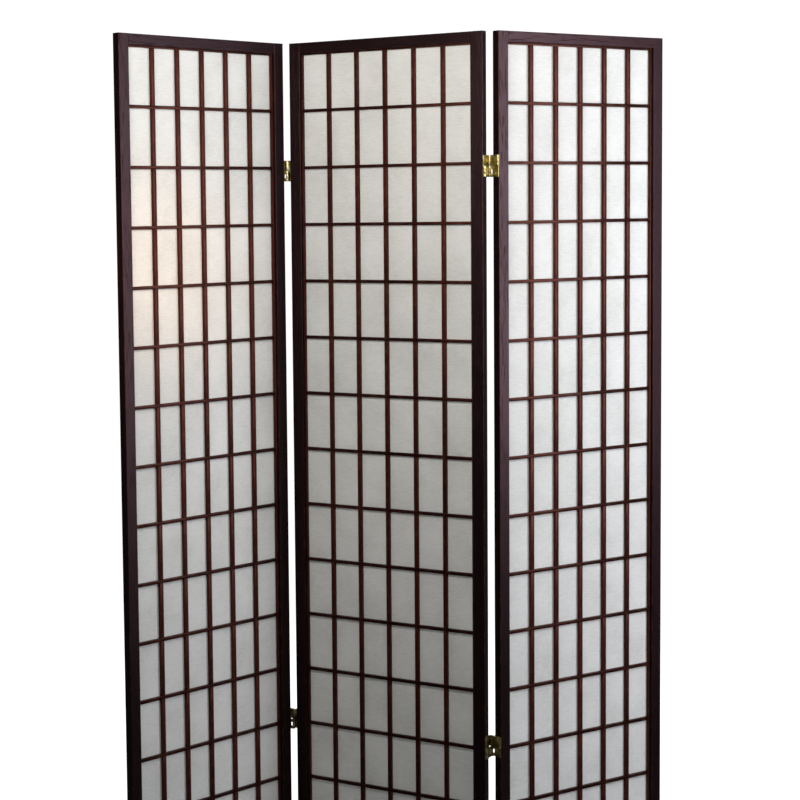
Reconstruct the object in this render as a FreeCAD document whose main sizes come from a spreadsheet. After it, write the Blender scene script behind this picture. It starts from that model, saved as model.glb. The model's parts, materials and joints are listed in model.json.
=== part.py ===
"""Folding screen of three shoji panels, joined edge to edge by double-action hinges.

Each panel is drawn in its own frame: x along its width, y from its front (-) to its back (+),
z up from the floor, with the origin under the middle of the panel. Hinge leaves and links are drawn
in a leaf frame: x straight out of a stile's edge, y as in the panel, z from the middle of the hinge.
Every sub-part is then placed with its panel. Lengths are in millimetres and angles in degrees.
"""

import FreeCAD, Part
import math
import os
import Sketcher
from FreeCAD import Placement, Rotation, Vector

DRIVING = {
    "panel_width": 440.0,
    "panel_height": 1784.0,
    "panel_depth": 18.0,
    "leg_height": 89.0,
    "stile_width": 25.0,
    "rail_height": 21.5,
    "edge_rounding": 1.2,
    "columns": 6,
    "rows": 14,
    "lattice_recess": 5.5,
    "lattice_depth": 7.0,
    "border_width": 4.0,
    "bar_width": 8.5,
    "crossbar_height": 6.5,
    "paper_thickness": 0.5,
    "paper_margin": 0.5,
    "dowel_diameter": 6.0,
    "dowel_length": 30.0,
    "dowel_spacing": 10.0,
    "hinge_height": 43.0,
    "hinge_from_end": 264.0,
    "pin_from_edge": 5.2,
    "pin_from_face": 3.5,
    "knuckle_diameter": 5.8,
    "pin_diameter": 2.6,
    "pin_clearance": 0.05,
    "plate_thickness": 1.2,
    "hinge_gap": 0.3,
    "screw_diameter": 3.0,
    "screw_head": 5.6,
    "screw_length": 16.0,
    "screw_spacing": 14.0,
    "screw_stagger": 3.0,
    "middle_turn": -36.0,
    "left_fold": 75.0,
    "right_fold": 64.0,
}

OPENING_WIDTH = "(Sheet.panel_width - 2 * Sheet.stile_width)"
OPENING_HEIGHT = "(Sheet.panel_height - Sheet.leg_height - 2 * Sheet.rail_height)"
OPENING_BOTTOM = "(Sheet.leg_height + Sheet.rail_height)"
LATTICE_FRONT = "(Sheet.lattice_recess - Sheet.panel_depth / 2)"
LATTICE_BACK = f"({LATTICE_FRONT} + Sheet.lattice_depth)"
LATTICE_WIDTH = f"({OPENING_WIDTH} - 2 * Sheet.border_width)"
LATTICE_HEIGHT = f"({OPENING_HEIGHT} - 2 * Sheet.border_width)"
LATTICE_BOTTOM = f"({OPENING_BOTTOM} + Sheet.border_width)"
COLUMN_PITCH = f"(({LATTICE_WIDTH} + Sheet.bar_width) / Sheet.columns)"
ROW_PITCH = f"(({LATTICE_HEIGHT} + Sheet.crossbar_height) / Sheet.rows)"
FIRST_BAR = f"(-{LATTICE_WIDTH} / 2 + {COLUMN_PITCH} - Sheet.bar_width)"
FIRST_CROSSBAR = f"({LATTICE_BOTTOM} + {ROW_PITCH} - Sheet.crossbar_height)"
LAP_DEPTH = "(Sheet.lattice_depth / 2)"
PIN_REACH = "(Sheet.panel_depth / 2 + Sheet.pin_from_face)"
HALF_HINGE = "((Sheet.hinge_height - Sheet.hinge_gap) / 2)"
KNUCKLE_LENGTH = f"(({HALF_HINGE} - 2 * Sheet.hinge_gap) / 3)"
KNUCKLE_RADIUS = "(Sheet.knuckle_diameter / 2)"
LINK_REACH = f"({PIN_REACH} - {KNUCKLE_RADIUS} - Sheet.hinge_gap)"

ROUGH_SIZE = 10.0  # a sketch's lines start this long, and its constraints then take the sheet's sizes
NEARLY_ALONG = 0.99  # the cosine past which an edge counts as running along a bar
MM_PER_METRE = 1000

doc = FreeCAD.newDocument("folding_screen")
sheet = doc.addObject("Spreadsheet::Sheet", "Sheet")
for row, (alias, number) in enumerate(DRIVING.items(), start=1):
    sheet.set(f"A{row}", alias)
    sheet.set(f"B{row}", str(number))
    sheet.setAlias(f"B{row}", alias)
doc.recompute()

size = {alias: float(getattr(sheet, alias)) for alias in DRIVING}
sub_parts = []


# ---- general helpers ----

def bind(thing, **expressions):
    """Ties properties of an object to expressions on the sheet."""
    for name, expression in expressions.items():
        thing.setExpression(name, expression)
    return thing


def place(thing, x="0", y="0", z="0"):
    """Ties an object's corner or centre to expressions on the sheet."""
    for axis, expression in zip("xyz", (x, y, z)):
        thing.setExpression(f"Placement.Base.{axis}", f"{expression} * 1 mm")
    return thing


def box(name, length, width, height, x="0", y="0", z="0"):
    block = bind(doc.addObject("Part::Box", name), Length=length, Width=width, Height=height)
    return place(block, x, y, z)


def cylinder(name, radius, height, x="0", y="0", z="0"):
    return place(bind(doc.addObject("Part::Cylinder", name), Radius=radius, Height=height), x, y, z)


def fuse(name, pieces):
    """One shape from several, or the piece itself where there is only one."""
    if len(pieces) == 1:
        return pieces[0]
    joined = doc.addObject("Part::MultiFuse", name)
    joined.Shapes = pieces
    return joined


def cut(name, base, tool):
    result = doc.addObject("Part::Cut", name)
    result.Base = base
    result.Tool = tool
    return result


def group(name, pieces):
    """Several separate solids that share one node."""
    gathered = doc.addObject("Part::Compound", name)
    gathered.Links = pieces
    return gathered


def finish_part(thing, label, where):
    """Names a sub-part and puts it where it belongs on the screen."""
    thing.Label = label
    sub_parts.append((thing, where))


def origin_feature(body, role):
    return next(item for item in body.Origin.OriginFeatures if item.Role == role)


def rectangle_sketch(body, name, plane, x, y, width, height, offset="0"):
    """A rectangle from (x, y), bound to the sheet, on one of the body's origin planes."""
    sketch = body.newObject("Sketcher::SketchObject", name)
    sketch.AttachmentSupport = (origin_feature(body, plane), "")
    sketch.MapMode = "FlatFace"
    sketch.setExpression("AttachmentOffset.Base.z", f"{offset} * 1 mm")
    far = ROUGH_SIZE
    corners = [Vector(0, 0, 0), Vector(far, 0, 0), Vector(far, far, 0), Vector(0, far, 0)]
    for start, end in zip(corners, corners[1:] + corners[:1]):
        sketch.addGeometry(Part.LineSegment(start, end), False)
    for side in range(4):
        sketch.addConstraint(Sketcher.Constraint("Coincident", side, 2, (side + 1) % 4, 1))
    for side in (0, 2):
        sketch.addConstraint(Sketcher.Constraint("Horizontal", side))
        sketch.addConstraint(Sketcher.Constraint("Vertical", side + 1))
    rules = (
        ("DistanceX", (-1, 1, 0, 1), x),
        ("DistanceY", (-1, 1, 0, 1), y),
        ("DistanceX", (0, 1, 0, 2), width),
        ("DistanceY", (1, 1, 1, 2), height),
    )
    for kind, ends, expression in rules:
        index = sketch.addConstraint(Sketcher.Constraint(kind, *ends, ROUGH_SIZE))
        sketch.setExpression(f"Constraints[{index}]", f"{expression} * 1 mm")
    return sketch


def pad(body, name, sketch, length):
    feature = body.newObject("PartDesign::Pad", name)
    feature.Profile = sketch
    feature.setExpression("Length", f"{length} * 1 mm")
    return feature


def pocket(body, name, sketch, length):
    """A pocket cut along the sketch's own normal."""
    feature = body.newObject("PartDesign::Pocket", name)
    feature.Profile = sketch
    feature.Reversed = True
    feature.setExpression("Length", f"{length} * 1 mm")
    return feature


def repeat(body, name, original, axis, pitch, count):
    """A straight row of copies of one feature."""
    pattern = body.newObject("PartDesign::LinearPattern", name)
    pattern.Originals = [original]
    pattern.Direction = (origin_feature(body, axis), [""])
    pattern.setExpression("Occurrences", count)
    pattern.setExpression("Length", f"{pitch} * ({count} - 1) * 1 mm")
    body.Tip = pattern
    return pattern


def round_long_edges(body, feature, direction):
    """Eases the four edges of a bar that run along its length."""
    doc.recompute()
    names = []
    for index, edge in enumerate(feature.Shape.Edges, start=1):
        if abs(edge.tangentAt(edge.FirstParameter).dot(direction)) > NEARLY_ALONG:
            names.append(f"Edge{index}")
    fillet = body.newObject("PartDesign::Fillet", "EasedEdges")
    fillet.Base = (feature, names)
    fillet.setExpression("Radius", "Sheet.edge_rounding * 1 mm")
    body.Tip = fillet


def upright_bar(name, x, y, width, depth, bottom, height):
    """A plain bar or sheet that stands upright, padded from its section."""
    body = doc.addObject("PartDesign::Body", name)
    section = rectangle_sketch(body, "Section", "XY_Plane", x, y, width, depth, offset=bottom)
    pad(body, "Upright", section, height)
    return body


# ---- one panel ----

def stile_blank(name, side):
    """An upright of the frame: side is -1 for the left one and 1 for the right one."""
    left = "-Sheet.panel_width / 2" if side < 0 else "(Sheet.panel_width / 2 - Sheet.stile_width)"
    front = "-Sheet.panel_depth / 2"
    body = upright_bar(
        name, left, front, "Sheet.stile_width", "Sheet.panel_depth", "0", "Sheet.panel_height"
    )
    round_long_edges(body, body.Tip, Vector(0, 0, 1))
    return body


def rail_blank(name, bottom):
    """A cross rail of the frame, between the stiles, with its lower edge at the given height."""
    body = doc.addObject("PartDesign::Body", name)
    section = rectangle_sketch(
        body, "Section", "YZ_Plane", "-Sheet.panel_depth / 2", bottom,
        "Sheet.panel_depth", "Sheet.rail_height", offset=f"-{OPENING_WIDTH} / 2",
    )
    rail = pad(body, "Rail", section, OPENING_WIDTH)
    round_long_edges(body, rail, Vector(1, 0, 0))
    return body


def dowels(name, panel_side_rails):
    """Two dowels across each joint of a stile with a rail."""
    pins = []
    for rail_name, bottom in panel_side_rails.items():
        for side in (-1, 1):
            for level in (-1, 1):
                dowel = bind(
                    doc.addObject("Part::Cylinder", f"{name}_{rail_name}"),
                    Radius="Sheet.dowel_diameter / 2", Height="Sheet.dowel_length",
                )
                dowel.Placement.Rotation = Rotation(Vector(0, 1, 0), 90)
                middle = f"({bottom} + Sheet.rail_height / 2 + {level} * Sheet.dowel_spacing / 2)"
                place(dowel, x=f"({side} * {OPENING_WIDTH} / 2 - Sheet.dowel_length / 2)", z=middle)
                pins.append(dowel)
    return group(name, pins)


def border_strip(name, role):
    """One of the four thin strips that frame the lattice inside the stiles and rails."""
    if role in ("left", "right"):
        inner = f"({OPENING_WIDTH} / 2 - Sheet.border_width)"
        x = f"(-{OPENING_WIDTH} / 2)" if role == "left" else inner
        width = "Sheet.border_width"
        bottom = OPENING_BOTTOM
        height = OPENING_HEIGHT
    else:
        x = f"(-{LATTICE_WIDTH} / 2)"
        width = LATTICE_WIDTH
        bottom = OPENING_BOTTOM if role == "bottom" else f"({LATTICE_BOTTOM} + {LATTICE_HEIGHT})"
        height = "Sheet.border_width"
    return upright_bar(name, x, LATTICE_FRONT, width, "Sheet.lattice_depth", bottom, height)


def vertical_bars(name):
    """The lattice's upright bars, notched over the front half of their depth at each crossing."""
    body = doc.addObject("PartDesign::Body", name)
    section = rectangle_sketch(
        body, "Section", "XY_Plane", FIRST_BAR, LATTICE_FRONT, "Sheet.bar_width", "Sheet.lattice_depth",
        offset=LATTICE_BOTTOM,
    )
    bar = pad(body, "Bar", section, LATTICE_HEIGHT)
    repeat(body, "Bars", bar, "X_Axis", COLUMN_PITCH, "(Sheet.columns - 1)")
    lap_section = rectangle_sketch(
        body, "LapSection", "XY_Plane", f"-{OPENING_WIDTH} / 2", LATTICE_FRONT, OPENING_WIDTH, LAP_DEPTH,
        offset=FIRST_CROSSBAR,
    )
    lap = pocket(body, "Lap", lap_section, "Sheet.crossbar_height")
    repeat(body, "Laps", lap, "Z_Axis", ROW_PITCH, "(Sheet.rows - 1)")
    return body


def horizontal_bars(name):
    """The lattice's cross bars, notched over the back half of their depth at each crossing."""
    body = doc.addObject("PartDesign::Body", name)
    section = rectangle_sketch(
        body, "Section", "YZ_Plane", LATTICE_FRONT, FIRST_CROSSBAR,
        "Sheet.lattice_depth", "Sheet.crossbar_height", offset=f"-{LATTICE_WIDTH} / 2",
    )
    bar = pad(body, "Bar", section, LATTICE_WIDTH)
    repeat(body, "Bars", bar, "Z_Axis", ROW_PITCH, "(Sheet.rows - 1)")
    lap_section = rectangle_sketch(
        body, "LapSection", "YZ_Plane", f"({LATTICE_FRONT} + {LAP_DEPTH})", OPENING_BOTTOM,
        LAP_DEPTH, OPENING_HEIGHT, offset=FIRST_BAR,
    )
    lap = pocket(body, "Lap", lap_section, "Sheet.bar_width")
    repeat(body, "Laps", lap, "X_Axis", COLUMN_PITCH, "(Sheet.columns - 1)")
    return body


def paper(name):
    """The sheet glued to the back of the lattice."""
    width = f"({OPENING_WIDTH} - 2 * Sheet.paper_margin)"
    height = f"({OPENING_HEIGHT} - 2 * Sheet.paper_margin)"
    bottom = f"({OPENING_BOTTOM} + Sheet.paper_margin)"
    return upright_bar(name, f"(-{width} / 2)", LATTICE_BACK, width, "Sheet.paper_thickness", bottom, height)


def build_panel(panel, where, screws_by_side):
    """All the sub-parts of one panel. screws_by_side gives the hinge screws that enter each stile."""
    rails = {"bottom": "Sheet.leg_height", "top": "(Sheet.panel_height - Sheet.rail_height)"}
    pegs = dowels(f"{panel}_pegs", rails)
    for side_name, side in (("left", -1), ("right", 1)):
        blank = stile_blank(f"{panel}_{side_name}_blank", side)
        bored = [pegs, *screws_by_side.get(side, [])]
        stile = cut(f"{panel}_{side_name}_bored", blank, fuse(f"{panel}_{side_name}_holes", bored))
        finish_part(stile, f"{panel}_panel_{side_name}_stile", where)
    for rail_name, bottom in rails.items():
        blank = rail_blank(f"{panel}_{rail_name}_blank", bottom)
        rail = cut(f"{panel}_{rail_name}_bored", blank, pegs)
        finish_part(rail, f"{panel}_panel_{rail_name}_rail", where)
    for role in ("left", "right", "top", "bottom"):
        finish_part(border_strip(f"{panel}_{role}_strip", role), f"{panel}_panel_{role}_border", where)
    finish_part(vertical_bars(f"{panel}_uprights"), f"{panel}_panel_vertical_bars", where)
    finish_part(horizontal_bars(f"{panel}_crossbars"), f"{panel}_panel_horizontal_bars", where)
    finish_part(paper(f"{panel}_sheet"), f"{panel}_panel_paper", where)
    finish_part(group(f"{panel}_peg_set", [pegs]), f"{panel}_panel_dowels", where)


# ---- hinges, in the leaf frame ----

CORNER_TO_PIN = math.hypot(size["pin_from_edge"], size["pin_from_face"])
WEB_ANGLE = math.degrees(
    math.atan2(size["pin_from_face"], size["pin_from_edge"])
    + math.asin(size["knuckle_diameter"] / 2 / CORNER_TO_PIN)
)
WEB_LENGTH = f"sqrt(Sheet.pin_from_edge ^ 2 + Sheet.pin_from_face ^ 2 - {KNUCKLE_RADIUS} ^ 2)"
UPPER_START = "(Sheet.hinge_gap / 2)"
LOWER_START = "(-Sheet.hinge_height / 2)"
KNUCKLE_STEP = f"({KNUCKLE_LENGTH} + Sheet.hinge_gap)"


def knuckle_with_web(name, side, bottom, length):
    """A leaf's knuckle and the web that runs from the leaf's edge to its outer side."""
    knuckle = cylinder(name, KNUCKLE_RADIUS, length, "Sheet.pin_from_edge", f"({side} * {PIN_REACH})", bottom)
    web = box(f"{name}_web", WEB_LENGTH, "Sheet.plate_thickness", length)
    web.Placement.Rotation = Rotation(Vector(0, 0, 1), side * WEB_ANGLE)
    inward = "Sheet.plate_thickness" if side > 0 else "0"
    x = f"({inward} * sin({WEB_ANGLE} * 1 deg))"
    y = f"({side} * Sheet.panel_depth / 2 - {inward} * cos({WEB_ANGLE} * 1 deg))"
    return [knuckle, place(web, x, y, bottom)]


def screw(name, z, y):
    """A countersunk wood screw, driven into the stile's edge until its head is flush with the leaf."""
    head_depth = "((Sheet.screw_head - Sheet.screw_diameter) / 2)"
    head = bind(
        doc.addObject("Part::Cone", f"{name}_head"),
        Radius1="Sheet.screw_diameter / 2", Radius2="Sheet.screw_head / 2", Height=head_depth,
    )
    shank = bind(
        doc.addObject("Part::Cylinder", f"{name}_shank"),
        Radius="Sheet.screw_diameter / 2", Height=f"Sheet.screw_length - {head_depth}",
    )
    for piece in (head, shank):
        piece.Placement.Rotation = Rotation(Vector(0, 1, 0), 90)
    place(head, f"(Sheet.plate_thickness - {head_depth})", y, z)
    place(shank, "(Sheet.plate_thickness - Sheet.screw_length)", y, z)
    return fuse(name, [head, shank])


def screw_row(name):
    """The three staggered screws of one leaf."""
    return group(name, [
        screw(name + "_screw", f"({step} * Sheet.screw_spacing)", f"({stagger} * Sheet.screw_stagger)")
        for step, stagger in ((-1, 1), (0, -1), (1, 1))
    ])


def leaf(name, free_link, screws):
    """A hinge leaf. Its upper knuckles stand behind the panel and its lower ones in front of it.

    Where free_link is true the upper knuckle is a single long one, past which its link swings clear.
    """
    plate = box(
        f"{name}_plate", "Sheet.plate_thickness", "Sheet.panel_depth", "Sheet.hinge_height",
        y="(-Sheet.panel_depth / 2)", z="(-Sheet.hinge_height / 2)",
    )
    last = f"2 * {KNUCKLE_STEP}"
    spans = [(-1, LOWER_START, KNUCKLE_LENGTH), (-1, f"({LOWER_START} + {last})", KNUCKLE_LENGTH)]
    if free_link:
        spans.append((1, UPPER_START, HALF_HINGE))
    else:
        spans.append((1, UPPER_START, KNUCKLE_LENGTH))
        spans.append((1, f"({UPPER_START} + {last})", KNUCKLE_LENGTH))
    pieces = [plate]
    for side, bottom, length in spans:
        pieces += knuckle_with_web(f"{name}_knuckle", side, bottom, length)
    holes = [screws, *pin_set(f"{name}_bore", "Sheet.pin_diameter / 2")]
    return cut(name, fuse(f"{name}_solid", pieces), fuse(f"{name}_holes", holes))


def pin_set(name, radius):
    """The two pins of one leaf: the upper one behind the panel and the lower one in front of it."""
    return [
        cylinder(name, radius, HALF_HINGE, "Sheet.pin_from_edge", f"({side} * {PIN_REACH})", start)
        for side, start in ((1, UPPER_START), (-1, LOWER_START))
    ]


def link(name, start, knuckle_sides):
    """A link plate that crosses from the front pin to the back pin within one half of the hinge."""
    plate_x = "(Sheet.pin_from_edge - Sheet.plate_thickness / 2)"
    plate = box(
        f"{name}_plate", "Sheet.plate_thickness", f"2 * {LINK_REACH}", HALF_HINGE,
        plate_x, f"(-{LINK_REACH})", start,
    )
    middle = f"({start} + {KNUCKLE_STEP})"
    pieces = [plate]
    bores = []
    for side in knuckle_sides:
        tongue_start = LINK_REACH if side > 0 else f"(-{PIN_REACH})"
        tongue_length = f"({PIN_REACH} - {LINK_REACH})"
        pieces.append(box(
            f"{name}_tongue", "Sheet.plate_thickness", tongue_length, KNUCKLE_LENGTH,
            plate_x, tongue_start, middle,
        ))
        centre = ("Sheet.pin_from_edge", f"({side} * {PIN_REACH})", middle)
        pieces.append(cylinder(f"{name}_knuckle", KNUCKLE_RADIUS, KNUCKLE_LENGTH, *centre))
        running = "Sheet.pin_diameter / 2 + Sheet.pin_clearance"
        bores.append(cylinder(f"{name}_bore", running, KNUCKLE_LENGTH, *centre))
    return cut(name, fuse(f"{name}_solid", pieces), fuse(f"{name}_bores", bores))


# ---- where everything stands ----

def turned(angle):
    return Rotation(Vector(0, 0, 1), angle)


def stile_end(side, height):
    """The leaf frame of a hinge on a panel's left (-1) or right (1) edge, in the panel's frame."""
    return Placement(Vector(side * size["panel_width"] / 2, 0, height), turned(0 if side > 0 else 180))


def pin_at(side, face):
    """A pin's axis in its panel's frame: side is -1 left or 1 right, face is -1 front or 1 back."""
    across = size["panel_width"] / 2 + size["pin_from_edge"]
    through = size["panel_depth"] / 2 + size["pin_from_face"]
    return Vector(side * across, face * through, 0)


def folded_panel(side, face, angle):
    """An outer panel that hangs on the middle panel's given edge and folds about its given face's pins."""
    turn = turned(angle)
    return MIDDLE * Placement(pin_at(side, face) - turn.multVec(pin_at(-side, face)), turn)


MIDDLE = Placement(Vector(0, 0, 0), turned(size["middle_turn"]))
PLACES = {
    "left": folded_panel(-1, -1, size["left_fold"]),
    "middle": MIDDLE,
    "right": folded_panel(1, 1, size["right_fold"]),
}
HINGE_SIDES = {"left": (1,), "middle": (-1, 1), "right": (-1,)}
HINGE_HEIGHTS = {
    "upper": size["panel_height"] - size["hinge_from_end"],
    "lower": size["leg_height"] + size["hinge_from_end"],
}


def build_fold(fold, side):
    """The links of the two hinges between the middle panel and the outer panel on the given side."""
    for level, height in HINGE_HEIGHTS.items():
        name = f"{fold}_fold_{level}_hinge"
        bottom_link = link(f"{name}_lower_plate", LOWER_START, (-1, 1))
        finish_part(bottom_link, f"{name}_bottom_link", MIDDLE * stile_end(side, height))
        top_link = link(f"{name}_upper_plate", UPPER_START, (1,))
        finish_part(top_link, f"{name}_top_link", PLACES[fold] * stile_end(-side, height))


def build_hinge_side(panel, side):
    """Leaves for one edge of a panel. Returns that edge's screws and pins, in the panel's frame."""
    fold = panel if panel != "middle" else {-1: "left", 1: "right"}[side]
    screws = []
    pins = []
    for level, height in HINGE_HEIGHTS.items():
        name = f"{fold}_fold_{level}_hinge_{'inner' if panel == 'middle' else 'outer'}_leaf"
        end = stile_end(side, height)
        row_of_screws = screw_row(f"{name}_screws")
        part = leaf(f"{name}_plate", panel == "middle", row_of_screws)
        finish_part(part, name, PLACES[panel] * end)
        screws.append(group(f"{name}_screw_row", [row_of_screws]))
        screws[-1].Placement = end
        pins.append(group(f"{name}_pins", pin_set(f"{name}_pin", "Sheet.pin_diameter / 2")))
        pins[-1].Placement = end
    return screws, pins


for panel, where in PLACES.items():
    screws_by_side = {}
    all_pins = []
    for side in HINGE_SIDES[panel]:
        screws_by_side[side], pins = build_hinge_side(panel, side)
        all_pins += pins
    build_panel(panel, where, screws_by_side)
    all_screws = [row_of_screws for rows in screws_by_side.values() for row_of_screws in rows]
    finish_part(group(f"{panel}_screw_set", all_screws), f"{panel}_panel_hinge_screws", where)
    finish_part(group(f"{panel}_pin_set", all_pins), f"{panel}_panel_hinge_pins", where)
build_fold("left", -1)
build_fold("right", 1)


# ---- origin, checks and files ----

def stand_on_origin():
    """Places every sub-part, with the frame's origin under the middle of the whole screen."""
    for thing, where in sub_parts:
        thing.Placement = where
    doc.recompute()
    extent = FreeCAD.BoundBox()
    for thing, _ in sub_parts:
        extent.add(thing.Shape.BoundBox)
    shift = Vector(-extent.Center.x, -extent.Center.y, -extent.ZMin)
    for thing, where in sub_parts:
        thing.Placement = Placement(shift, Rotation()) * where
    doc.recompute()
    return shift


def check_document():
    """Stops before anything is written if a feature failed or a sub-part is empty or invalid."""
    for item in doc.Objects:
        if "Invalid" in item.State or "Error" in item.State:
            raise RuntimeError(f"{item.Name} failed: {item.State}")
    labels = [thing.Label for thing, _ in sub_parts]
    if len(set(labels)) != len(labels):
        raise RuntimeError("two sub-parts share a name")
    for thing, _ in sub_parts:
        if thing.Shape.isNull() or not thing.Shape.isValid() or not thing.Shape.Solids:
            raise RuntimeError(f"{thing.Label} has no valid shape")


def print_axes(shift):
    """Prints where each joint's vertical axis stands, in metres."""
    axes = {
        "left_fold": ("middle", pin_at(-1, -1)),
        "left_reverse_fold": ("middle", pin_at(-1, 1)),
        "left_top_links": ("left", pin_at(1, 1)),
        "right_fold": ("middle", pin_at(1, 1)),
        "right_reverse_fold": ("middle", pin_at(1, -1)),
        "right_top_links": ("right", pin_at(-1, -1)),
    }
    for name, (panel, pin) in axes.items():
        point = (PLACES[panel].multVec(pin) + shift) / MM_PER_METRE
        print(f"axis {name} {point.x:.6f} {point.y:.6f}")


moved = stand_on_origin()
check_document()
print_axes(moved)
os.makedirs("parts", exist_ok=True)
for thing, _ in sub_parts:
    thing.Shape.exportStep(f"parts/{thing.Label}.step")
print(f"{len(sub_parts)} sub-parts written")
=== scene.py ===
"""Looks for a folding screen of three lattice-and-paper panels on brass double-action hinges.

Everything is in metres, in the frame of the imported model. Pieces made here are shaped in a
panel's own axes (x along its width, y through it with the front at -y, z up from the foot)
and then turned into place with that panel.
"""

import json
import math

import bpy
from mathutils import Matrix, Vector, noise


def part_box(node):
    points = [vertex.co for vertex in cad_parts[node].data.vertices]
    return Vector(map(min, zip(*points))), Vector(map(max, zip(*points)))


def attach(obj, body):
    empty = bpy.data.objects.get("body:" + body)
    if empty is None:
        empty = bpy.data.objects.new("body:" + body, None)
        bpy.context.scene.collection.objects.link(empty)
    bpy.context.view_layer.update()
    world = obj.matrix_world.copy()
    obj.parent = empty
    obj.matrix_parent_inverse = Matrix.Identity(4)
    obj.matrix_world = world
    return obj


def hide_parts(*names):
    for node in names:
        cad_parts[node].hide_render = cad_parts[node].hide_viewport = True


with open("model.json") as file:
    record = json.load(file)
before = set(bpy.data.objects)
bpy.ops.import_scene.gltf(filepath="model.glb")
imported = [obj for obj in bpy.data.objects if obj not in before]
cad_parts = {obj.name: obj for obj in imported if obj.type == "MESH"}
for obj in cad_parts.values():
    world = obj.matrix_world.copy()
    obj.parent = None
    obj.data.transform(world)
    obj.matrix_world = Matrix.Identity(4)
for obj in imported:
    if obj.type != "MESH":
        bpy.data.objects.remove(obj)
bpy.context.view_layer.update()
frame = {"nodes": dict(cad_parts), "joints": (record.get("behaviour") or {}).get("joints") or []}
NODES = frame["nodes"]
MM = 0.001

PANELS = ("left", "middle", "right")
FOLDS = ("left", "right")
LEVELS = ("upper", "lower")

# The design's own sizes, which the pieces made here and the patterns of the wood follow.
PANEL_WIDTH = 440 * MM
PANEL_HEIGHT = 1784 * MM
PANEL_DEPTH = 18 * MM
STILE_WIDTH = 25 * MM
RAIL_HEIGHT = 21.5 * MM
LEG_HEIGHT = 89 * MM
LATTICE_BACK = 3.5 * MM
PAPER_MARGIN = 0.5 * MM
BORDER = 4 * MM
BAR_WIDTH = 8.5 * MM
CROSS_BAR_HEIGHT = 6.5 * MM
HINGE_INSET = 264 * MM
SCREW_SPACING = 14 * MM
SCREW_STAGGER = 3 * MM
COLUMNS = 6
ROWS = 14
OPENING_WIDTH = PANEL_WIDTH - 2 * STILE_WIDTH
OPENING_FOOT = LEG_HEIGHT + RAIL_HEIGHT
OPENING_HEIGHT = PANEL_HEIGHT - RAIL_HEIGHT - OPENING_FOOT
PLATE_THICKNESS = 1.2 * MM
SCREW_HEAD = 5.6 * MM


# ---- the three panels' places, from the hinge pins and the rails ----

PINS = {joint["name"]: Vector(joint["pos_m"]) for joint in frame["joints"]}
FRONT_AND_BACK_PIN = {
    "left": ("left_fold", "left_top_link_turn"),
    "middle": ("left_fold", "left_reverse_fold"),
    "right": ("right_top_link_turn", "right_fold"),
}


def panel_angle(panel):
    """How far a panel is turned about the upright, counter-clockwise from above."""
    front, back = (PINS[name] for name in FRONT_AND_BACK_PIN[panel])
    through = back - front
    return math.atan2(-through.x, through.y)


def panel_foot(panel):
    """The point of the floor under the middle of a panel."""
    low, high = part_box(f"{panel}_panel_bottom_rail")
    centre = (low + high) / 2
    return Vector((centre.x, centre.y, 0))


PANEL_TURN = {panel: panel_angle(panel) for panel in PANELS}
PANEL_FOOT = {panel: panel_foot(panel) for panel in PANELS}
PANEL_PLACE = {
    panel: Matrix.Translation(PANEL_FOOT[panel]) @ Matrix.Rotation(PANEL_TURN[panel], 4, "Z")
    for panel in PANELS
}


# ---- shader sums and nodes ----

class Amount:
    """A number, colour or vector that varies over a surface, so that sums of numbers read as sums."""

    def __init__(self, finish, socket):
        self.finish = finish
        self.socket = socket

    def sum(self, operation, first, second):
        return self.finish.add("ShaderNodeMath", {"operation": operation}, {0: first, 1: second})

    def __add__(self, other):
        return self.sum("ADD", self, other)

    def __sub__(self, other):
        return self.sum("SUBTRACT", self, other)

    def __rsub__(self, other):
        return self.sum("SUBTRACT", other, self)

    def __mul__(self, other):
        return self.sum("MULTIPLY", self, other)

    def __abs__(self):
        return self.sum("ABSOLUTE", self, 0)

    __radd__ = __add__
    __rmul__ = __mul__


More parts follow.
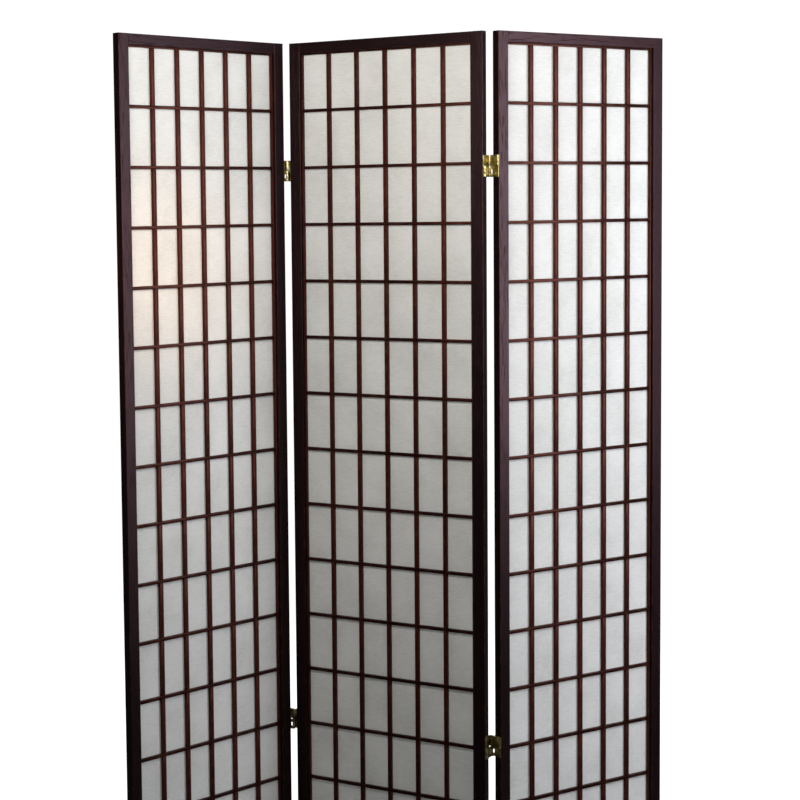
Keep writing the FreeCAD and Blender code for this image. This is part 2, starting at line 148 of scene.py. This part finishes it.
class Finish:
    """A material as it is built up: its shader, and the nodes that feed it."""

    def __init__(self, name, **constants):
        self.material = bpy.data.materials.new(name)
        self.material.use_nodes = True
        self.tree = self.material.node_tree
        self.shader = self.tree.nodes["Principled BSDF"]
        for socket, value in constants.items():
            self.shader.inputs[socket.replace("_", " ")].default_value = value

    def add(self, kind, settings, values, output=0):
        """Adds a node: its settings first, then the numbers or amounts that go into it."""
        node = self.tree.nodes.new(kind)
        for name, value in settings.items():
            if name == "stops":
                self.set_stops(node.color_ramp, value)
            else:
                setattr(node, name, value)
        for socket, value in values.items():
            if isinstance(value, Amount):
                self.tree.links.new(value.socket, node.inputs[socket])
            else:
                node.inputs[socket].default_value = value
        return Amount(self, node.outputs[output])

    def set_stops(self, ramp, stops):
        while len(ramp.elements) < len(stops):
            ramp.elements.new(1.0)
        for element, (place, colour) in zip(ramp.elements, stops):
            element.position = place
            element.color = (*colour, 1.0)

    def places(self, turn=0.0, foot=(0, 0, 0), scale=(1, 1, 1), shift=(0, 0, 0)):
        """Object coordinates in the axes of a piece that stands turned about the upright over foot."""
        coordinates = self.add("ShaderNodeTexCoord", {}, {}, output=3)
        unturn = Matrix.Rotation(-turn, 3, "Z")
        back = -(unturn @ Vector(foot))
        own = self.add(
            "ShaderNodeMapping", {},
            {"Vector": coordinates, "Location": back, "Rotation": (0, 0, -turn)},
        )
        return own, self.stretch(own, scale, shift)

    def stretch(self, vector, scale, shift=(0, 0, 0)):
        return self.add(
            "ShaderNodeMapping", {}, {"Vector": vector, "Scale": scale, "Location": shift}
        )

    def split(self, vector):
        """The x, y and z of a vector."""
        node = self.tree.nodes.new("ShaderNodeSeparateXYZ")
        self.tree.links.new(vector.socket, node.inputs[0])
        return [Amount(self, socket) for socket in node.outputs]

    def grains(self, vector, scale, detail=2.0, roughness=0.5, distortion=0.0):
        return self.add("ShaderNodeTexNoise", {}, {
            "Vector": vector, "Scale": scale, "Detail": detail,
            "Roughness": roughness, "Distortion": distortion,
        })

    def between(self, amount, low, high):
        """0 below low, 1 above high, and smooth between them."""
        return self.add(
            "ShaderNodeMapRange", {"interpolation_type": "SMOOTHSTEP"},
            {"Value": amount, "From Min": low, "From Max": high},
        )

    def colours(self, amount, *stops):
        return self.add("ShaderNodeValToRGB", {"stops": stops}, {"Fac": amount})

    def mix(self, share, first, second, way="MIX"):
        """The first colour turning into the second as share goes from 0 to 1."""
        sockets = {0: share, 6: self.solid(first), 7: self.solid(second)}
        return self.add(
            "ShaderNodeMix", {"data_type": "RGBA", "blend_type": way}, sockets, output=2
        )

    def solid(self, colour):
        return colour if isinstance(colour, Amount) else (*colour, 1.0)

    def feed(self, socket, amount):
        self.tree.links.new(amount.socket, self.shader.inputs[socket])

    def relief(self, height, depth, strength=1.0):
        """Bumps of that depth in metres where height goes from 0 to 1."""
        normal = self.add(
            "ShaderNodeBump", {}, {"Height": height, "Distance": depth, "Strength": strength}
        )
        self.feed("Normal", normal)


# ---- wood ----

FRAME_STAIN = {
    "dark": (0.0014, 0.0006, 0.0005), "mid": (0.0056, 0.0019, 0.0017), "light": (0.018, 0.0056, 0.0052),
}
LATTICE_STAIN = {
    "dark": (0.0070, 0.0012, 0.0010), "mid": (0.032, 0.0058, 0.0042), "light": (0.070, 0.016, 0.010),
}
# The cross bars' tones are the lattice's stain darkened with painted shade, standing for the dimmer look
# of their sideways grain under these lamps.
CROSS_BAR_STAIN_AND_SHADE = {
    "dark": (0.0030, 0.0008, 0.0007), "mid": (0.0110, 0.0024, 0.0020), "light": (0.034, 0.0085, 0.0060),
}
FRAME_SHEEN = (1.0, 0.58, 0.68, 1.0)
LATTICE_SHEEN = (1.0, 0.32, 0.24, 1.0)
BAR_EASING = 0.45 * MM
BRASS_EASING = 0.14 * MM
WORN_WOOD = (0.105, 0.046, 0.028)
ALONG_GRAIN = 0.055


def stained_wood(name, panel, upright, wood_tones, edge_mask):
    """Dark-stained, lacquered hardwood whose grain runs up a piece, or along it where upright is false."""
    wood = Finish(
        name, IOR=1.45, Specular_IOR_Level=0.36,
        Specular_Tint=FRAME_SHEEN if wood_tones is FRAME_STAIN else LATTICE_SHEEN,
    )
    grain_scale = (1, 1, ALONG_GRAIN) if upright else (ALONG_GRAIN, 1, 1)
    seed = 3.7 * PANELS.index(panel) + (0 if upright else 1.9)
    own, along = wood.places(PANEL_TURN[panel], PANEL_FOOT[panel], grain_scale, (seed, seed, seed))
    figure = wood.grains(along, 26, 3, 0.55, 0.6)
    streaks = wood.grains(along, 240, 4, 0.6, 0.3)
    fibres = wood.grains(along, 1100, 3, 0.6)
    pores = wood.between(wood.grains(wood.stretch(along, (1, 1, 1), (5, 1, 2)), 620, 1, 0.4), 0.60, 0.70)
    blotches = wood.grains(own, 5.5, 2, 0.5)
    tone = figure * 0.50 + streaks * 0.38 + fibres * 0.20 + blotches * 0.22 - 0.12
    # For the cross bars the tones given are the stain darkened with painted shade.
    colour = wood.colours(tone, (0.30, wood_tones["dark"]), (0.53, wood_tones["mid"]), (0.80, wood_tones["light"]))
    colour = wood.mix(pores * 0.62, colour, wood_tones["dark"])
    rub = wood.between(wood.grains(own, 60, 4, 0.65), 0.50, 0.66)
    worn = edge_mask(wood, own) * rub
    colour = wood.mix(worn * 0.55, colour, WORN_WOOD)
    wood.feed("Base Color", colour)
    wood.feed("Roughness", 0.27 + streaks * 0.10 + blotches * 0.12 + pores * 0.22 + worn * 0.12)
    wood.relief(fibres * 0.30 + streaks * 0.35 - pores * 0.70 + figure * 0.2, 0.00022)
    return wood.material


def near_edges(wood, distances):
    """1 at the long edges of a bar, where the distances from its centre lines reach its two half sizes."""
    masks = [
        wood.between(distance, half - 1.3 * MM, half - 0.2 * MM) for distance, half in distances
    ]
    return masks[0] * masks[1]


def stile_edges(wood, own):
    across, through, _ = wood.split(own)
    centre = PANEL_WIDTH / 2 - STILE_WIDTH / 2
    beside = abs(abs(across) - centre)
    return near_edges(wood, [(beside, STILE_WIDTH / 2), (abs(through), PANEL_DEPTH / 2)])


def rail_edges(wood, own):
    _, through, up = wood.split(own)
    middle = (PANEL_HEIGHT + LEG_HEIGHT) / 2
    centre = PANEL_HEIGHT - RAIL_HEIGHT / 2 - middle
    beside = abs(abs(up - middle) - centre)
    return near_edges(wood, [(beside, RAIL_HEIGHT / 2), (abs(through), PANEL_DEPTH / 2)])


def lattice_edges(wood, own):
    _, through, _ = wood.split(own)
    return wood.between(abs(through), LATTICE_BACK - 0.5 * MM, LATTICE_BACK - 0.05 * MM) * 0.5


def give(node, material):
    """A CAD piece keeps its shape and takes this material."""
    NODES[node].data.materials.clear()
    NODES[node].data.materials.append(material)


def finish_woodwork(panel):
    frame_up = stained_wood(f"{panel}_stile_wood", panel, True, FRAME_STAIN, stile_edges)
    frame_across = stained_wood(f"{panel}_rail_wood", panel, False, FRAME_STAIN, rail_edges)
    lattice_up = stained_wood(f"{panel}_upright_bar_wood", panel, True, LATTICE_STAIN, lattice_edges)
    # The cross bars take the stain darkened with painted shade.
    lattice_across = stained_wood(f"{panel}_cross_bar_shaded_wood", panel, False, CROSS_BAR_STAIN_AND_SHADE, lattice_edges)
    for part in ("left_stile", "right_stile"):
        give(f"{panel}_panel_{part}", frame_up)
    for part in ("top_rail", "bottom_rail"):
        give(f"{panel}_panel_{part}", frame_across)
    body = f"{panel}_panel"
    for part in ("left_border", "right_border", "vertical_bars"):
        eased_copy(f"{panel}_panel_{part}", body, BAR_EASING, lattice_up)
    for part in ("top_border", "bottom_border", "horizontal_bars"):
        eased_copy(f"{panel}_panel_{part}", body, BAR_EASING, lattice_across)


def beech():
    """Plain turned dowels, pale, with short dark flecks along them."""
    wood = Finish("dowel_beech", Roughness=0.62, Specular_IOR_Level=0.35)
    own, along = wood.places(scale=(0.2, 0.2, 1))
    flecks = wood.between(wood.grains(along, 900, 2, 0.5), 0.56, 0.68)
    tone = wood.grains(along, 160, 3, 0.6)
    colour = wood.colours(tone, (0.3, (0.40, 0.22, 0.10)), (0.7, (0.62, 0.40, 0.21)))
    wood.feed("Base Color", wood.mix(flecks * 0.5, colour, (0.26, 0.12, 0.05)))
    wood.relief(tone - flecks * 0.5, 0.0001)
    return wood.material


# ---- brass ----

def brass(name, base, dull, bright, rough):
    """Rolled brass with a light tarnish that is rubbed bright in places, and fine rolling lines."""
    metal = Finish(name, Metallic=1.0, Roughness=rough)
    own, lines = metal.places(scale=(1, 1, 14))
    tarnish = metal.grains(own, 70, 5, 0.62, 0.4)
    spots = metal.between(metal.grains(own, 420, 2, 0.5), 0.62, 0.74)
    rolling = metal.grains(lines, 700, 2, 0.5)
    colour = metal.colours(tarnish, (0.34, dull), (0.52, base), (0.70, bright))
    metal.feed("Base Color", metal.mix(spots * 0.6, colour, dull))
    metal.feed("Roughness", rough - 0.10 + tarnish * 0.22 + spots * 0.25 + rolling * 0.06)
    metal.relief(rolling * 0.4 + tarnish * 0.4 - spots * 0.3, 0.00005)
    return metal.material


# ---- paper ----

PAPER_WIDTH = OPENING_WIDTH - 2 * PAPER_MARGIN
PAPER_HEIGHT = OPENING_HEIGHT - 2 * PAPER_MARGIN
PAPER_MIDDLE = OPENING_FOOT + OPENING_HEIGHT / 2
WELD = 0.001 * MM
FLAT_ANGLE = math.radians(0.5)
PAPER_SKIN = 0.12 * MM
PAPER_FACE = 0.06 * MM
COCKLE_HEIGHT = 0.55 * MM
COCKLE_LENGTH = 13 * MM
COLUMN_PITCH = (OPENING_WIDTH - 2 * BORDER + BAR_WIDTH) / COLUMNS
ROW_PITCH = (OPENING_HEIGHT - 2 * BORDER + CROSS_BAR_HEIGHT) / ROWS
PAPER_CELLS = (60, 480)
TRANSLUCENT_SHARE = 0.34


def fibre_paper(panel):
    """White paper with long fibres, fine laid lines and a faint cloudiness, which lets light through."""
    sheet = Finish(f"{panel}_paper", Roughness=0.82, Specular_IOR_Level=0.25)
    shift = (PANELS.index(panel) * 2.3, 0, 0)
    own, flat = sheet.places(PANEL_TURN[panel], PANEL_FOOT[panel], (1, 1, 1), shift)
    clouds = sheet.grains(flat, 9, 4, 0.55)
    pulp = sheet.grains(flat, 520, 4, 0.7)
    level = sheet.grains(sheet.stretch(flat, (0.12, 1, 1)), 620, 3, 0.6, 0.8)
    slanted = sheet.stretch(
        sheet.add("ShaderNodeMapping", {}, {"Vector": flat, "Rotation": (0, 0.9, 0)}), (0.14, 1, 1)
    )
    strands = sheet.between(sheet.grains(slanted, 330, 2, 0.6, 1.6), 0.60, 0.72)
    other = sheet.stretch(
        sheet.add("ShaderNodeMapping", {}, {"Vector": flat, "Rotation": (0, -0.7, 0)}), (0.14, 1, 1)
    )
    more_strands = sheet.between(sheet.grains(other, 290, 2, 0.6, 1.6), 0.61, 0.73)
    tone = clouds * 0.34 + pulp * 0.30 + level * 0.36
    colour = sheet.colours(
        tone, (0.34, (0.66, 0.66, 0.64)), (0.50, (0.80, 0.80, 0.785)), (0.66, (0.90, 0.90, 0.89))
    )
    colour = sheet.mix(strands * 0.45, colour, (0.94, 0.935, 0.92))
    colour = sheet.mix(more_strands * 0.30, colour, (0.60, 0.59, 0.57))
    sheet.feed("Base Color", colour)
    sheet.relief(level * 0.5 + pulp * 0.35 + strands * 0.4, 0.00016)
    glow = sheet.add("ShaderNodeBsdfTranslucent", {}, {"Color": colour})
    output = sheet.tree.nodes["Material Output"]
    body = Amount(sheet, sheet.shader.outputs[0])
    both = sheet.add("ShaderNodeMixShader", {}, {0: TRANSLUCENT_SHARE, 1: body, 2: glow})
    sheet.tree.links.new(both.socket, output.inputs["Surface"])
    return sheet.material


def cockle(panel, x, z):
    """How far the paper stands off the lattice: level ripples in some panes, none over the bars."""
    column = x / COLUMN_PITCH
    row = (z - PAPER_MIDDLE) / ROW_PITCH
    free = math.cos(math.pi * (column % 1.0 - 0.5)) * math.cos(math.pi * (row % 1.0 - 0.5))
    free = max(free, 0.0) ** 0.6
    seed = 11.0 * PANELS.index(panel)
    damp = noise.noise(Vector((x * 7 + seed, 3.0, z * 5)))
    rippled = min(max(0.35 + 1.7 * damp, 0.06), 1.0)
    wander = noise.noise(Vector((x * 22, seed, z * 14))) * 1.6
    ripple = 0.5 + 0.5 * math.sin(2 * math.pi * (z / COCKLE_LENGTH + wander))
    belly = 0.5 + 0.5 * noise.noise(Vector((x * 16 + seed, 8.0, z * 9)))
    return COCKLE_HEIGHT * free * (0.75 * rippled * ripple + 0.6 * belly)


def select_none():
    if bpy.context.object and bpy.context.object.mode != "OBJECT":
        bpy.ops.object.mode_set(mode="OBJECT")
    bpy.ops.object.select_all(action="DESELECT")


def apply_all(piece):
    select_none()
    bpy.context.view_layer.objects.active = piece
    piece.select_set(True)
    for modifier in list(piece.modifiers):
        bpy.ops.object.modifier_apply(modifier=modifier.name)


def settle(piece, place):
    """Puts a piece's place into its mesh, so that its object sits at the origin."""
    piece.data.transform(place @ piece.matrix_world)
    piece.matrix_world = Matrix.Identity(4)
    piece.data.update()


def eased_copy(node, body, width, material):
    """A piece with its CAD shape and its sharp edges eased, which stands for the CAD piece."""
    piece = bpy.data.objects.new(f"{node}_eased", NODES[node].data.copy())
    bpy.context.scene.collection.objects.link(piece)
    piece.data.materials.clear()
    select_none()
    bpy.context.view_layer.objects.active = piece
    piece.select_set(True)
    bpy.ops.mesh.customdata_custom_splitnormals_clear()
    bpy.ops.object.mode_set(mode="EDIT")
    bpy.ops.mesh.select_all(action="SELECT")
    bpy.ops.mesh.remove_doubles(threshold=WELD)
    bpy.ops.mesh.dissolve_limited(angle_limit=FLAT_ANGLE)
    bpy.ops.object.mode_set(mode="OBJECT")
    easing = piece.modifiers.new("easing", "BEVEL")
    easing.width = width
    easing.segments = 2
    easing.limit_method = "ANGLE"
    easing.angle_limit = math.radians(50)
    easing.use_clamp_overlap = True
    apply_all(piece)
    bpy.ops.object.shade_smooth_by_angle(angle=math.radians(35))
    piece.data.materials.append(material)
    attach(piece, body)
    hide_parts(node)


# ---- screws ----

SCREW_SHANK = 3.0 * MM
SCREW_LENGTH = 16 * MM
SCREW_TIP = 3 * MM
THREAD_PITCH = 1.3 * MM
THREAD_DEPTH = 0.35 * MM
HEAD_CROWN = 0.12 * MM
HEAD_DEPTH = (SCREW_HEAD - SCREW_SHANK) / 2
SCREW_STEPS = ((-SCREW_SPACING, SCREW_STAGGER), (0, -SCREW_STAGGER), (SCREW_SPACING, SCREW_STAGGER))
SCREW_FACETS = 28
RECESS_BLADE = (3.1 * MM, 0.62 * MM, 1.3 * MM)
RECESS_DEPTH = -0.10 * MM
HINGE_HEIGHTS = (PANEL_HEIGHT - HINGE_INSET, LEG_HEIGHT + HINGE_INSET)
HINGE_SIDES = {"left": (1,), "middle": (-1, 1), "right": (-1,)}


def screw_profile():
    """Half of a screw's section, from the middle of its head down to its tip."""
    points = [(0, HEAD_CROWN), (SCREW_HEAD * 0.32, HEAD_CROWN * 0.7), (SCREW_HEAD / 2, -0.02 * MM)]
    points += [(SCREW_HEAD / 2, -0.12 * MM), (SCREW_SHANK / 2, -HEAD_DEPTH)]
    depth = HEAD_DEPTH + 1.5 * THREAD_PITCH
    while depth < SCREW_LENGTH - SCREW_TIP:
        points.append((SCREW_SHANK / 2 - THREAD_DEPTH, -depth + THREAD_PITCH * 0.3))
        points.append((SCREW_SHANK / 2, -depth))
        depth += THREAD_PITCH
    points.append((SCREW_SHANK / 2 - THREAD_DEPTH, -(SCREW_LENGTH - SCREW_TIP)))
    points.append((0, -SCREW_LENGTH))
    return points


def one_screw():
    """A countersunk wood screw that points down -z, with a cross recess in its head at z = 0."""
    select_none()
    profile = screw_profile()
    mesh = bpy.data.meshes.new("screw")
    edges = [(i, i + 1) for i in range(len(profile) - 1)]
    mesh.from_pydata([(across, 0, up) for across, up in profile], edges, [])
    screw = bpy.data.objects.new("screw", mesh)
    bpy.context.scene.collection.objects.link(screw)
    bpy.context.view_layer.objects.active = screw
    screw.select_set(True)
    bpy.ops.object.mode_set(mode="EDIT")
    bpy.ops.mesh.select_all(action="SELECT")
    bpy.ops.mesh.spin(steps=SCREW_FACETS, angle=2 * math.pi, center=(0, 0, 0), axis=(0, 0, 1))
    bpy.ops.mesh.select_all(action="SELECT")
    bpy.ops.mesh.remove_doubles(threshold=WELD)
    bpy.ops.mesh.normals_make_consistent(inside=False)
    bpy.ops.object.mode_set(mode="OBJECT")
    for turn in (0, math.pi / 2):
        select_none()
        bpy.ops.mesh.primitive_cube_add(size=1, location=(0, 0, RECESS_DEPTH), rotation=(0, 0, turn))
        blade = bpy.context.object
        blade.scale = RECESS_BLADE
        bpy.ops.object.transform_apply(location=True, rotation=True, scale=True)
        recess = screw.modifiers.new("recess", "BOOLEAN")
        recess.operation = "DIFFERENCE"
        recess.solver = "EXACT"
        recess.object = blade
        apply_all(screw)
        bpy.data.objects.remove(blade)
    bpy.ops.object.shade_smooth_by_angle(angle=math.radians(35))
    return screw


def screw_places(panel):
    """Where the panel's screws stand, each with its head outward from the stile's edge."""
    for side in HINGE_SIDES[panel]:
        outward = Matrix.Rotation(0 if side > 0 else math.pi, 4, "Z")
        for height in HINGE_HEIGHTS:
            edge = Matrix.Translation((side * PANEL_WIDTH / 2, 0, height)) @ outward
            for number, (up, through) in enumerate(SCREW_STEPS):
                driven = 0.5 + 1.9 * number + 3.1 * side + 2.3 * height
                head = Matrix.Translation((PLATE_THICKNESS, through, up))
                tilt = Matrix.Rotation(math.pi / 2, 4, "Y") @ Matrix.Rotation(driven, 4, "Z")
                yield PANEL_PLACE[panel] @ edge @ head @ tilt


def hinge_screws(panel, pattern, material):
    """All of a panel's hinge screws, as one piece of separate solids."""
    copies = []
    for place in screw_places(panel):
        copy = bpy.data.objects.new(f"{panel}_screw", pattern.data.copy())
        bpy.context.scene.collection.objects.link(copy)
        copy.matrix_world = place
        copies.append(copy)
    select_none()
    for copy in copies:
        copy.select_set(True)
    bpy.context.view_layer.objects.active = copies[0]
    bpy.ops.object.join()
    screws = copies[0]
    screws.name = f"{panel}_screws"
    settle(screws, Matrix.Identity(4))
    screws.data.materials.append(material)
    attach(screws, f"{panel}_panel")
    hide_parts(f"{panel}_panel_hinge_screws")


def paper_sheet(panel):
    """A thin sheet of paper against the back of the lattice, cut to the opening less a margin."""
    select_none()
    bpy.ops.mesh.primitive_grid_add(
        x_subdivisions=PAPER_CELLS[0], y_subdivisions=PAPER_CELLS[1], size=1, calc_uvs=False,
        rotation=(math.pi / 2, 0, 0),
    )
    sheet = bpy.context.object
    sheet.name = f"{panel}_paper_sheet"
    sheet.data.name = sheet.name
    sheet.scale = (PAPER_WIDTH, PAPER_HEIGHT, 1)
    bpy.ops.object.transform_apply(location=False, rotation=True, scale=True)
    for vertex in sheet.data.vertices:
        vertex.co.z += PAPER_MIDDLE
        vertex.co.y = LATTICE_BACK + PAPER_FACE + cockle(panel, vertex.co.x, vertex.co.z)
    skin = sheet.modifiers.new("skin", "SOLIDIFY")
    skin.thickness = PAPER_SKIN
    skin.offset = 1.0
    apply_all(sheet)
    bpy.ops.object.shade_smooth_by_angle(angle=math.radians(40))
    settle(sheet, PANEL_PLACE[panel])
    sheet.data.materials.append(fibre_paper(panel))
    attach(sheet, f"{panel}_panel")
    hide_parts(f"{panel}_panel_paper")


# ---- the pieces ----

for panel in PANELS:
    finish_woodwork(panel)
    paper_sheet(panel)

dowel_finish = beech()
hinge_finish = brass("hinge_brass", (0.42, 0.355, 0.145), (0.16, 0.135, 0.055), (0.93, 0.86, 0.58), 0.30)
screw_finish = brass("screw_brass", (0.62, 0.47, 0.17), (0.26, 0.19, 0.07), (0.90, 0.78, 0.40), 0.30)
pin_finish = brass("pin_brass", (0.66, 0.52, 0.20), (0.34, 0.25, 0.10), (0.92, 0.82, 0.46), 0.24)
screw = one_screw()
for panel in PANELS:
    give(f"{panel}_panel_dowels", dowel_finish)
    give(f"{panel}_panel_hinge_pins", pin_finish)
    hinge_screws(panel, screw, screw_finish)
bpy.data.objects.remove(screw)
for fold in FOLDS:
    riding = {
        "inner_leaf": "middle_panel", "outer_leaf": f"{fold}_panel",
        "bottom_link": f"{fold}_bottom_links", "top_link": f"{fold}_top_links",
    }
    for level in LEVELS:
        for part, body in riding.items():
            node = f"{fold}_fold_{level}_hinge_{part}"
            eased_copy(node, body, BRASS_EASING, hinge_finish)


# ---- the studio ----

FLOOR_GLOW = ((0.0, (0.86, 0.86, 0.86)), (1.0, (1.0, 1.0, 1.0)))


def floor_finish():
    """A pale matt floor that glows a little more farther out, so that it runs into the white behind it."""
    matt = Finish("pale_floor", Roughness=0.9, Specular_IOR_Level=0.1, Emission_Strength=1.0)
    own, _ = matt.places()
    tone = matt.grains(own, 3, 3, 0.5)
    matt.feed("Base Color", matt.colours(tone, (0.3, (0.80, 0.80, 0.80)), (0.7, (0.84, 0.84, 0.84))))
    away = matt.add("ShaderNodeVectorMath", {"operation": "LENGTH"}, {0: own}, output=1)
    matt.feed("Emission Color", matt.colours(matt.between(away, 0.55, 1.10), *FLOOR_GLOW))
    return matt.material


FLOOR_SIZE = 14.0
FLOOR_DROP = -0.0005


def lay_floor():
    select_none()
    bpy.ops.mesh.primitive_plane_add(size=FLOOR_SIZE, location=(0, 0, FLOOR_DROP))
    floor = bpy.context.object
    floor.name = "floor"
    floor.data.materials.append(floor_finish())
    floor.visible_diffuse = False
    floor.visible_glossy = False


def area_light(name, place, target, size, power, colour):
    data = bpy.data.lights.new(name, "AREA")
    data.shape = "RECTANGLE"
    data.size, data.size_y = size
    data.energy = power
    data.color = colour
    lamp = bpy.data.objects.new(name, data)
    bpy.context.scene.collection.objects.link(lamp)
    lamp.location = place
    aim = Vector(target) - Vector(place)
    lamp.rotation_euler = aim.to_track_quat("-Z", "Y").to_euler()
    lamp.visible_camera = False


def light_studio():
    world = bpy.data.worlds.new("studio")
    bpy.context.scene.world = world
    world.use_nodes = True
    tree = world.node_tree
    soft = tree.nodes["Background"]
    soft.inputs["Color"].default_value = (0.93, 0.96, 1.0, 1.0)
    soft.inputs["Strength"].default_value = 0.05
    white = tree.nodes.new("ShaderNodeBackground")
    white.inputs["Color"].default_value = (1, 1, 1, 1)
    white.inputs["Strength"].default_value = 1.05
    seen = tree.nodes.new("ShaderNodeLightPath")
    mix = tree.nodes.new("ShaderNodeMixShader")
    tree.links.new(seen.outputs["Is Camera Ray"], mix.inputs[0])
    tree.links.new(soft.outputs[0], mix.inputs[1])
    tree.links.new(white.outputs[0], mix.inputs[2])
    tree.links.new(mix.outputs[0], tree.nodes["World Output"].inputs["Surface"])
    area_light("key", (1.75, -1.00, 1.50), (0.9, 0.2, 1.50), (0.8, 1.5), 41, (0.93, 0.95, 1.0))
    area_light("fill", (-0.42, -1.36, 1.85), (0.0, 0.0, 2.40), (1.2, 0.9), 26, (1.0, 0.965, 0.90))
    area_light("back", (0.9, 2.2, 1.7), (0.1, 0.0, 1.2), (1.8, 1.2), 19, (0.88, 0.93, 1.0))
    warm_glow()


def warm_glow():
    """A soft warm pool of light high on the left panel."""
    data = bpy.data.lights.new("glow", "SPOT")
    data.energy = 110
    data.color = (1.0, 0.54, 0.22)
    data.spot_size = math.radians(11)
    data.spot_blend = 0.9
    data.shadow_soft_size = 0.12
    lamp = bpy.data.objects.new("glow", data)
    bpy.context.scene.collection.objects.link(lamp)
    lamp.location = (-0.1, -2.6, 1.75)
    aim = PANEL_PLACE["left"] @ Vector((-0.13, 0.0, 1.33)) - lamp.location
    lamp.rotation_euler = aim.to_track_quat("-Z", "Y").to_euler()


LENS = 83.65
SENSOR_WIDTH = 36
LENS_SHIFT = (0.20, -0.06)
STAND_FROM_LEFT_FOLD = (-0.357, -3.893)
EYE_HEIGHT = 1.443
HEADING = -3.71
LOOKING_DOWN = 4.410
ROLL = -0.80


def stand_camera():
    """A standing viewer in front and to the left, looking slightly down."""
    data = bpy.data.cameras.new("camera")
    data.lens = LENS
    data.sensor_width = SENSOR_WIDTH
    data.shift_x, data.shift_y = LENS_SHIFT
    camera = bpy.data.objects.new("camera", data)
    bpy.context.scene.collection.objects.link(camera)
    beside, before = STAND_FROM_LEFT_FOLD
    stand = Vector((PINS["left_fold"].x + beside, PINS["left_fold"].y + before, EYE_HEIGHT))
    heading, down, roll = (math.radians(angle) for angle in (HEADING, LOOKING_DOWN, ROLL))
    camera.matrix_world = (
        Matrix.Translation(stand) @ Matrix.Rotation(heading, 4, "Z")
        @ Matrix.Rotation(math.pi / 2 - down, 4, "X") @ Matrix.Rotation(roll, 4, "Z")
    )
    bpy.context.scene.camera = camera


lay_floor()
light_studio()
stand_camera()
scene = bpy.context.scene
scene.view_settings.view_transform = "Standard"
